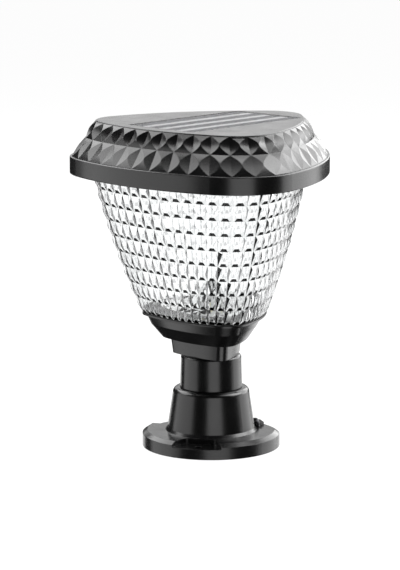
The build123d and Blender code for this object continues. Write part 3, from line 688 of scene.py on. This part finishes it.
@dataclass
class LensHousing(Assembly):
    """The housing under the lens with its seals and screws, and a plated dish with flat facets all over."""

    plastic: Material
    steel: Material
    rubber: Material
    mirror: Material
    dish_reach: float = 0.041
    dish_t: float = 0.001
    dish_waves: tuple[float, ...] = (0.0002, 0.0022, 0.0004, 0.0018)
    cone: tuple[tuple[float, float], ...] = (
        (0.02, 0.001),
        (0.0145, 0.0055),
        (0.01, 0.0115),
        (0.006, 0.0165),
        (0.003, 0.021),
    )
    facets: int = 36
    jitter: float = 0.0014
    seed: int = 7
    crease: float = 5.0

    def toward(self, point: Vector, radius: float, share: float, z: float) -> Vector:
        """Moves a point of the dish's edge by a share of the way to a circle round the axis, at a height."""
        flat = Vector((point.x, point.y, 0.0))
        return flat.lerp(flat.normalized() * radius, share) + upright(z)

    def dish_rings(self, z: float) -> list[list[Vector]]:
        """Lists the dish's rings of points: its edge, its ripples, and the cone that spreads the light.

        Args:
            z: Height of its underside.

        Returns:
            The rings, all but the two of the edge and the last one lifted here and there.
        """
        edge = lens_outline(self.dish_reach).ring(self.facets, z)
        rings = [edge, [point + upright(self.dish_t) for point in edge]]
        foot_r = self.cone[0][0]
        for step, wave in enumerate(self.dish_waves):
            share = (step + 1.0) / (len(self.dish_waves) + 1.0)
            rings.append([self.toward(point, foot_r, share, z + self.dish_t + wave) for point in edge])
        for radius, rise in self.cone:
            rings.append([self.toward(point, radius, 1.0, z + rise) for point in edge])
        draws = random.Random(self.seed)
        for index in range(2, len(rings) - 1):
            rings[index] = [point + upright(draws.uniform(0.0, self.jitter)) for point in rings[index]]
        return rings

    def build(self) -> None:
        """Builds the dish and dresses the housing and what sits in it."""
        low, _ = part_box("bottom_reflector")
        maker = MeshMaker()
        maker.shell(self.dish_rings(low[2]))
        piece = maker.finish("bottom_reflector_dish", self.crease)
        self.stand_in(piece, (self.mirror,), "bottom_reflector", "white_reflector")
        self.dress({"lower_housing": self.plastic, "lens_foot_seal": self.rubber,
                    "lens_top_seal": self.rubber, "lens_screws": self.steel})


@dataclass(frozen=True)
class DarkWall:
    """A wall of the prisms with black painted shade, standing for a dark refraction, in one column after each
    of the lens's tips.

    Fields give the column's count from the tip, how many rows from the foot have the wall, and how far across
    and how far up each prism its outer point stands, as shares of the prism.
    """

    place: int
    rows: int
    inset: float
    share: float


@dataclass
class PrismLens(Assembly):
    """The clear lens: a tapering rounded triangle with raised prisms outside and a smooth wall inside."""

    clear: Material
    foot: Material
    groove: Material
    flute: Material
    foot_z: float = 0.1075
    height: float = 0.1207
    foot_reach: float = 0.0557
    mid_reach: float = 0.080095
    top_reach: float = 0.0967
    wall: float = 0.0024
    ledge: float = 0.0025
    foot_opening: float = 0.038
    top_opening: float = 0.0827
    rows: int = 9
    columns: int = 48
    row_pitch: float = 0.01236
    skin: float = 0.0003
    foot_inset: float = 0.165
    dash_half: float = 0.17
    dash_share: float = 0.22
    dash_rise: float = 0.001
    groove_inset: float = 0.025
    flank_inset: float = 0.14
    flank_places: int = 9
    low_rows: int = 4
    crest_share: float = 0.42
    crest_rise: float = 0.0012
    tail_share: float = 0.75
    tail_rise: float = 0.0007
    tips: int = 3
    dark_walls: tuple[DarkWall, ...] = (
        DarkWall(1, 9, 0.2, 0.75),
        DarkWall(2, 9, 0.3, 0.75),
        *(DarkWall(place, 9, 0.16, 0.5) for place in range(4, 9)),
        DarkWall(10, 6, 0.12, 0.9),
        DarkWall(11, 6, 0.12, 0.9),
        DarkWall(14, 5, 0.4, 0.86),
        DarkWall(15, 3, 0.32, 0.86),
    )
    levels: int = 12
    crease: float = 15.0

    def reach(self, z: float) -> float:
        """Gives the outer reach, from the middle to a corner's tip, at a height."""
        t = (z - self.foot_z) / self.height
        return (self.foot_reach * (1.0 - t) * (1.0 - 2.0 * t) + self.mid_reach * 4.0 * t * (1.0 - t)
                + self.top_reach * t * (2.0 * t - 1.0))

    def column_parts(self) -> tuple[float, ...]:
        """Gives where a column's points stand across it: its groove and the two ends of its prism's foot."""
        return (0.0, self.foot_inset, 1.0 - self.foot_inset)

    def ring(self, reach: float, z: float) -> list[Vector]:
        """Lists the points of all columns round the lens, for a reach and at one height."""
        steps = [column + part for column in range(self.columns) for part in self.column_parts()]
        return lens_outline(reach).points([step / self.columns for step in steps], z)

    def place(self, column: int) -> int:
        """Counts a column from the last tip before it."""
        return column % (self.columns // self.tips)

    def wide(self, row: int, column: int) -> bool:
        """Says whether a prism's grooves are wide: on a side's flank and in the low rows."""
        return row < self.low_rows or self.place(column) < self.flank_places

    def dark_wall(self, row: int, column: int) -> DarkWall | None:
        """Finds the dark wall of a prism, or nothing where it has none."""
        place = self.place(column)
        return next((wall for wall in self.dark_walls if wall.place == place and row < wall.rows), None)

    def crown(self, row: int, column: int) -> list[Vector]:
        """Finds the points of a prism that stand out from the wall.

        Args:
            row: Row, counted from the foot.
            column: Column, counted from the +y tip.

        Returns:
            Tail at the left groove, both top ends of the foot, and the crest at the right groove.
        """
        inset = self.flank_inset if self.wide(row, column) else self.groove_inset
        wall = self.dark_wall(row, column)
        tail = (wall.inset, wall.share) if wall else (inset, self.tail_share)
        spots = (
            (*tail, self.tail_rise),
            (0.5 - self.dash_half, self.dash_share, self.dash_rise),
            (0.5 + self.dash_half, self.dash_share, self.dash_rise),
            (1.0 - inset, self.crest_share, self.crest_rise),
        )
        points = []
        for across, up, out in spots:
            z = self.foot_z + (row + up) * self.row_pitch
            point, outward = lens_outline(self.reach(z) + self.skin).spot((column + across) / self.columns)
            points.append(point + outward * out + upright(z))
        return points

    def prism(self, maker: MeshMaker, low: Loop, high: Loop, crown: Loop, left: int, right: int) -> None:
        """Adds the faces of one prism: a foot with painted shade, a wall at each groove and the bright faces
        between them.

        Args:
            maker: Mesh to add to.
            low: Four points along its foot, from left to right.
            high: Four points along its head, from left to right.
            crown: Points that stand out, as crown() lists them.
            left: Material slot of its left wall.
            right: Material slot of its right wall.
        """
        tail, dash_left, dash_right, crest = crown
        maker.face([low[1], low[2], dash_right, dash_left], slot=PrismFace.FOOT)
        maker.face([low[0], tail, high[0]], slot=left)
        maker.face([low[3], high[3], crest], slot=right)
        maker.face([low[0], low[1], dash_left])
        maker.face([low[0], dash_left, tail])
        maker.face([tail, dash_left, high[0]])
        maker.face([dash_left, high[1], high[0]])
        maker.face([dash_left, dash_right, high[2], high[1]])
        maker.face([low[2], low[3], crest])
        maker.face([low[2], crest, dash_right])
        maker.face([dash_right, crest, high[2]])
        maker.face([crest, high[3], high[2]])

    def prisms(self, maker: MeshMaker) -> tuple[Loop, Loop]:
        """Adds all prisms.

        Args:
            maker: Mesh to add to.

        Returns:
            The lowest and the highest ring of the prisms.
        """
        rings = []
        for row in range(self.rows + 1):
            z = self.foot_z + row * self.row_pitch
            rings.append(maker.loop(self.ring(self.reach(z) + self.skin, z)))
        parts = len(self.column_parts())
        for row in range(self.rows):
            for column in range(self.columns):
                steps = [(parts * column + step) % (parts * self.columns) for step in range(parts + 1)]
                low, high = ([ring[step] for step in steps] for ring in (rings[row], rings[row + 1]))
                crown = maker.loop(self.crown(row, column))
                # Wide grooves get walls with grey painted shade and dark walls get black painted shade; the
                # other walls stay clear.
                right = PrismFace.GROOVE if self.wide(row, column) else PrismFace.CLEAR
                left = PrismFace.FLUTE if self.dark_wall(row, column) else right
                self.prism(maker, low, high, crown, left, right)
        return rings[0], rings[-1]

    def build(self) -> None:
        """Builds the lens as one closed shell and dresses it."""
        maker = MeshMaker()
        foot_ring, head_ring = self.prisms(maker)
        top_z = self.foot_z + self.height
        floor_z, ring_z = self.foot_z + self.ledge, top_z - self.ledge
        turns = [(self.top_reach, top_z), (self.top_opening, top_z), (self.top_opening, ring_z)]
        for step in range(self.levels + 1):
            z = ring_z + (floor_z - ring_z) * step / self.levels
            turns.append((self.reach(z) - self.wall, z))
        turns += [(self.foot_opening, floor_z), (self.foot_opening, self.foot_z)]
        last = maker.carry(head_ring, [self.ring(reach, z) for reach, z in turns], smooth=True)
        maker.bridge(last, foot_ring, smooth=True)
        piece = maker.finish("prism_lens_crystal", self.crease)
        self.stand_in(piece, (self.clear, self.foot, self.groove, self.flute), "prism_lens", "clear_lens")


@dataclass
class RimAndCap(Assembly):
    """The rim tray, and the cap with two rows of raised facets whose ridges curve."""

    plastic: Material
    rubber: Material
    steel: Material
    heights: tuple[float, float, float] = (0.2317, 0.2464, 0.2592)
    reaches: tuple[float, float, float] = (0.1125, 0.1015, 0.0935)
    rises: tuple[float, float] = (0.0011, 0.0018)
    sinks: tuple[float, float] = (0.0003, 0.0012)
    corner_inset: float = 0.064
    bow: float = 0.128
    count: int = 36
    strips: int = 6
    arc_steps: int = 4
    seat_reach: float = 0.0932
    seat_z: float = 0.2575
    ridge_power: float = 1.6
    wall: float = 0.005
    roof: float = 0.003
    crease: float = 25.0

    def outline(self, reach: float) -> Outline:
        """Gives the cap's outline for a reach."""
        return Outline(reach, reach - self.corner_inset, self.bow)

    def levels(self) -> list[float]:
        """Lists the heights of a facet's strips, from -1 to 1."""
        return [step / self.strips for step in range(-self.strips, self.strips + 1)]

    def facet_point(self, corners: list[Vector], u: float, v: float, rise: float) -> Vector:
        """Finds a point of a facet.

        Args:
            corners: Foot left, foot right, head right and head left of the facet.
            u: From -1 at the left to 1 at the right.
            v: From -1 at the foot to 1 at the head.
            rise: Height of the facet's tip.

        Returns:
            The point.
        """
        low = corners[0].lerp(corners[1], (u + 1.0) / 2.0)
        high = corners[3].lerp(corners[2], (u + 1.0) / 2.0)
        outward = (corners[1] - corners[0]).cross(corners[3] - corners[0]).normalized()
        lift = min(1.0 - abs(u), 1.0 - abs(v) ** self.ridge_power)
        return low.lerp(high, (v + 1.0) / 2.0) + outward * rise * max(lift, 0.0)

    def head_arc(self, step: int) -> list[Vector]:
        """Lists the points between a facet's head corners, on the plate's round outline."""
        shares = [(step + part / self.arc_steps) / self.count for part in range(1, self.arc_steps)]
        return self.outline(self.reaches[2]).points(shares, self.heights[2])

    def facet_row(self, maker: MeshMaker, row: int) -> tuple[Loop, Loop]:
        """Adds one row of facets.

        Args:
            maker: Mesh to add to.
            row: 0 for the lower row and 1 for the upper one.

        Returns:
            The row's foot loop and head loop.
        """
        low = self.outline(self.reaches[row]).ring(self.count, self.heights[row])
        high = self.outline(self.reaches[row + 1]).ring(self.count, self.heights[row + 1])
        sides = []
        for step in range(self.count):
            along = low[(step + 1) % self.count] - low[step - 1]
            inward = (high[step] - low[step]).cross(along).normalized() * self.sinks[row]
            sides.append(maker.loop([low[step].lerp(high[step], (v + 1.0) / 2.0) + inward * (1.0 - v * v)
                                     for v in self.levels()]))
        head = []
        for step in range(self.count):
            after = (step + 1) % self.count
            arc = maker.loop(self.head_arc(step)) if row else []
            corners = [low[step], low[after], high[after], high[step]]
            self.facet(maker, corners, sides[step], sides[after], arc, self.rises[row])
            head += [sides[step][-1], *arc]
        return [side[0] for side in sides], head

    def facet(self, maker: MeshMaker, corners: list[Vector], left: Loop, right: Loop, arc: Loop,
              rise: float) -> None:
        """Adds one facet: two flat side faces, and a foot and a head face between curved ridges.

        Args:
            maker: Mesh to add to.
            corners: Foot left, foot right, head right and head left.
            left: Points along the left side.
            right: Points along the right side.
            arc: Points along the head, from left to right, without its corners.
            rise: Height of the tip.
        """
        levels = self.levels()
        tip = maker.point(self.facet_point(corners, 0.0, 0.0, rise))
        near, far = [], []
        for index, v in enumerate(levels):
            for ridge, sign, side in ((near, -1.0, left), (far, 1.0, right)):
                if abs(v) == 1.0:
                    ridge.append(side[index])
                elif v == 0.0:
                    ridge.append(tip)
                else:
                    u = sign * abs(v) ** self.ridge_power
                    ridge.append(maker.point(self.facet_point(corners, u, v, rise)))
        last = len(levels) - 2
        for index in range(last + 1):
            after = index + 1
            top = [far[after], *reversed(arc if index == last else []), near[after]]
            middle = FacetFace.FOOT if index < self.strips else FacetFace.HEAD
            self.strip(maker, [left[index], near[index], near[after], left[after]], FacetFace.LEFT)
            self.strip(maker, [near[index], far[index], *top], middle)
            self.strip(maker, [far[index], right[index], right[after], far[after]], FacetFace.RIGHT)

    def strip(self, maker: MeshMaker, corners: Loop, patch: FacetFace) -> None:
        """Adds one strip of a facet, without corners that fall together.

        Args:
            maker: Mesh to add to.
            corners: Corners in order.
            patch: Face that the strip is part of.
        """
        kept = [corner for index, corner in enumerate(corners) if corner is not corners[index - 1]]
        if len(kept) > 2:
            maker.face(kept, smooth=True, patch=patch)

    def build(self) -> None:
        """Builds the cap as one closed shell and dresses the rim's parts."""
        maker = MeshMaker()
        foot, middle = self.facet_row(maker, 0)
        ledge, head = self.facet_row(maker, 1)
        bmesh.ops.weld_verts(maker.mesh, targetmap=dict(zip(ledge, middle)))
        seat = self.outline(self.seat_reach)
        seat_rings = [seat.ring(self.count * self.arc_steps, z) for z in (self.heights[2], self.seat_z)]
        maker.face(maker.carry(head, seat_rings, smooth=False))
        inner = ((self.reaches[0], self.heights[0]), (self.reaches[1], self.heights[1]),
                 (self.seat_reach, self.seat_z - self.roof))
        inner_rings = [self.outline(reach - self.wall).ring(self.count, z) for reach, z in inner]
        maker.face(maker.carry(foot, inner_rings, smooth=False))
        piece = maker.finish("faceted_cap_shell", self.crease)
        self.stand_in(piece, (self.plastic,), "faceted_cap", "black_plastic")
        self.dress({"rim_tray": self.plastic, "top_plate": self.plastic, "cap_seal": self.rubber,
                    "tray_screws": self.steel, "cap_screws": self.steel})


@dataclass
class SolarPanel(Assembly):
    """The panel in the top plate: board, cells, ribbons, and a clear cover that lies just clear of them."""

    finishes: dict[str, Material]
    resin: Material
    lift: float = 0.00008
    edge: float = 0.0003
    crease: float = 15.0

    def build(self) -> None:
        """Builds the cover as a sheet with a chamfered top edge and dresses the panel's layers."""
        low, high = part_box("panel_cover")
        rings = []
        for z, inset in ((low[2] + self.lift, 0.0), (high[2] - self.edge, 0.0), (high[2], self.edge)):
            x0, y0, x1, y1 = low[0] + inset, low[1] + inset, high[0] - inset, high[1] - inset
            rings.append([Vector((x, y, z)) for x, y in ((x0, y0), (x1, y0), (x1, y1), (x0, y1))])
        maker = MeshMaker()
        maker.shell(rings)
        piece = maker.finish("panel_cover_sheet", self.crease)
        self.stand_in(piece, (self.resin,), "panel_cover", "panel_resin")
        self.dress(self.finishes)


@dataclass
class Electronics(Assembly):
    """The lamp's boards, cells, leads and switch."""

    finishes: dict[str, Material]

    def build(self) -> None:
        """Dresses the parts inside the cap and the switch."""
        self.dress(self.finishes)


@dataclass(frozen=True)
class Softbox:
    """A flat studio light that faces the object."""

    name: str
    bearing: float
    height: float
    distance: float
    width: float
    tall: float
    radiance: float

    def build(self, facing: float, target: Vector) -> None:
        """Hangs the light.

        Args:
            facing: Bearing of the camera in degrees, which the light's own bearing is counted from.
            target: Point that it faces.
        """
        data = bpy.data.lights.new(self.name, "AREA")
        data.shape = "RECTANGLE"
        data.size, data.size_y = self.width, self.tall
        data.energy = self.radiance * math.pi * self.width * self.tall
        made = add_object(self.name, data)
        away = polar(1.0, math.radians(facing + self.bearing)) * math.cos(math.radians(self.height))
        away.z = math.sin(math.radians(self.height))
        made.matrix_world = aimed(target + away * self.distance, away)
        made.visible_camera = False
        made.visible_transmission = False


@dataclass
class Studio:
    """Camera, lights, white surround and floor."""

    target: Vector = field(default_factory=lambda: Vector((0.0, 0.0, 0.1586)))
    turn: float = 42.9
    height: float = 9.67
    distance: float = 2.108
    aim_right: float = -0.00888
    aim_up: float = -0.02865
    lens: float = 167.9
    sensor: float = 36.0
    surround_dim: float = 0.03
    floor_half: float = 12.0
    floor_gap: float = 0.0003
    paper: tuple[Colour, Colour] = (grey(0.1), grey(0.12))
    paper_blotch: float = 0.5
    paper_rough: float = 0.9
    paper_glow: float = 0.97
    softboxes: tuple[Softbox, ...] = (
        Softbox("left_box", -85.0, -2.0, 1.3, 1.7, 1.0, 1.6),
        Softbox("left_low_box", -90.0, -33.0, 1.3, 1.0, 0.45, 1.8),
        Softbox("left_top_box", -125.0, 40.0, 1.5, 1.6, 0.85, 4.4),
        Softbox("front_box", 10.0, -4.0, 1.5, 1.1, 0.9, 1.9),
        Softbox("front_low_box", 12.0, -41.0, 1.5, 1.1, 0.9, 2.4),
        Softbox("right_box", 114.0, -6.0, 1.4, 1.5, 0.9, 2.2),
        Softbox("right_low_box", 100.0, -33.0, 1.4, 0.7, 0.4, 2.0),
        Softbox("right_rear_box", 136.0, 21.0, 1.5, 1.5, 1.0, 3.8),
        Softbox("right_high_box", 97.0, 36.0, 1.4, 0.9, 0.7, 8.0),
        Softbox("right_top_box", 90.0, 66.0, 1.5, 1.1, 1.1, 4.0),
        Softbox("front_top_box", -12.0, 75.0, 1.5, 0.8, 0.4, 4.5),
        Softbox("left_crown_box", -90.0, 72.0, 1.5, 0.6, 0.6, 5.0),
        Softbox("rear_box", 180.0, 14.0, 2.0, 1.8, 0.7, 1.2),
        Softbox("rear_low_box", 180.0, -21.0, 1.6, 2.0, 0.4, 1.4),
    )

    def facing(self) -> float:
        """Gives the camera's bearing from the object in degrees, anticlockwise from +x."""
        return self.turn - 90.0

    def build_camera(self) -> None:
        """Places the camera at the photograph's angle."""
        turn, height = math.radians(self.turn), math.radians(self.height)
        level = math.cos(height)
        back = Vector((math.sin(turn) * level, -math.cos(turn) * level, math.sin(height)))
        right = polar(1.0, turn)
        up = back.cross(right)
        aim = self.target + right * self.aim_right + up * self.aim_up
        place = self.target + back * self.distance
        data = bpy.data.cameras.new("camera")
        data.lens, data.sensor_width = self.lens, self.sensor
        camera = add_object("camera", data)
        camera.matrix_world = aimed(place, place - aim)
        bpy.context.scene.camera = camera

    def build_world(self) -> None:
        """Makes a surround that is white to look at and dim in reflections."""
        world = bpy.data.worlds.new("white_surround")
        world.use_nodes = True
        bpy.context.scene.world = world
        tree = world.node_tree
        path = tree.nodes.new("ShaderNodeLightPath")
        seen = tree.nodes.new("ShaderNodeMath")
        seen.operation = "MAXIMUM"
        tree.links.new(path.outputs["Is Camera Ray"], seen.inputs[0])
        tree.links.new(path.outputs["Is Transmission Ray"], seen.inputs[1])
        level = tree.nodes.new("ShaderNodeMapRange")
        level.inputs["To Min"].default_value = self.surround_dim
        level.inputs["To Max"].default_value = 1.0
        tree.links.new(seen.outputs[0], level.inputs["Value"])
        tree.links.new(level.outputs["Result"], tree.nodes["Background"].inputs["Strength"])
        tree.nodes["Background"].inputs["Color"].default_value = (1.0, 1.0, 1.0, 1.0)

    def build_floor(self) -> None:
        """Lays a pale floor that doesn't show in reflections."""
        data = bpy.data.meshes.new("studio_floor")
        half, z = self.floor_half, -self.floor_gap
        corners = [(-half, -half, z), (half, -half, z), (half, half, z), (-half, half, z)]
        data.from_pydata(corners, [], [(0, 1, 2, 3)])
        floor = add_object("studio_floor", data)
        graph = ShaderGraph("studio_paper")
        graph.feed("Base Color", graph.blend(graph.noise(self.paper_blotch), *self.paper))
        graph.fix({"Roughness": self.paper_rough, "Specular IOR Level": 0.0})
        graph.fix({"Emission Color": (1.0, 1.0, 1.0, 1.0), "Emission Strength": self.paper_glow})
        data.materials.append(graph.material)
        floor.visible_glossy = False
        floor.visible_shadow = False

    def build(self) -> None:
        """Sets the studio up."""
        bpy.context.scene.view_settings.view_transform = "Standard"
        self.build_camera()
        self.build_world()
        self.build_floor()
        for box in self.softboxes:
            box.build(self.facing(), self.target)


def main() -> None:
    """Builds every assembly in order and sets the studio up."""
    logging.basicConfig(level=logging.INFO, format="%(name)s: %(message)s")
    plastic = BLACK_PLASTIC.material()
    black_screw = BLACK_SCREW.material()
    steel = STEEL_SCREW.material()
    rubber = SEAL_RUBBER.material()
    white = WHITE_REFLECTOR.material()
    green = BOARD_GREEN.material()
    lead = LEAD_RED.material()
    chip = CHIP_BLACK.material()
    BaseAndPost(plastic, black_screw).build()
    LensHousing(plastic, steel, rubber, PLATED_DISH.material()).build()
    PrismLens(*(finish.material() for finish in (CLEAR_LENS, PRISM_FOOT, PRISM_GROOVE, PRISM_FLUTE))).build()
    RimAndCap(plastic, rubber, steel).build()
    SolarPanel({"panel_board": PANEL_BLACK.material(), "solar_cells": SOLAR_SILICON.material(),
                "cell_ribbons": RIBBON_TIN.material()}, PANEL_RESIN.material()).build()
    Electronics({"led_board": BOARD_WHITE.material(), "leds": LED_PHOSPHOR.material(),
                 "led_board_screws": steel, "top_reflector": white, "battery_tray": TRAY_PLASTIC.material(),
                 "battery_cells": CELL_SLEEVE.material(), "battery_strap": STRAP_STEEL.material(),
                 "strap_screws": steel, "controller_board": green, "controller_screws": steel,
                 "lead_plugs": white, "controller_parts": chip, "panel_leads": lead, "battery_leads": lead,
                 "led_leads": lead, "switch_body": chip, "switch_button": BUTTON_RUBBER.material()}).build()
    Studio().build()


if __name__ == "__main__":
    main()
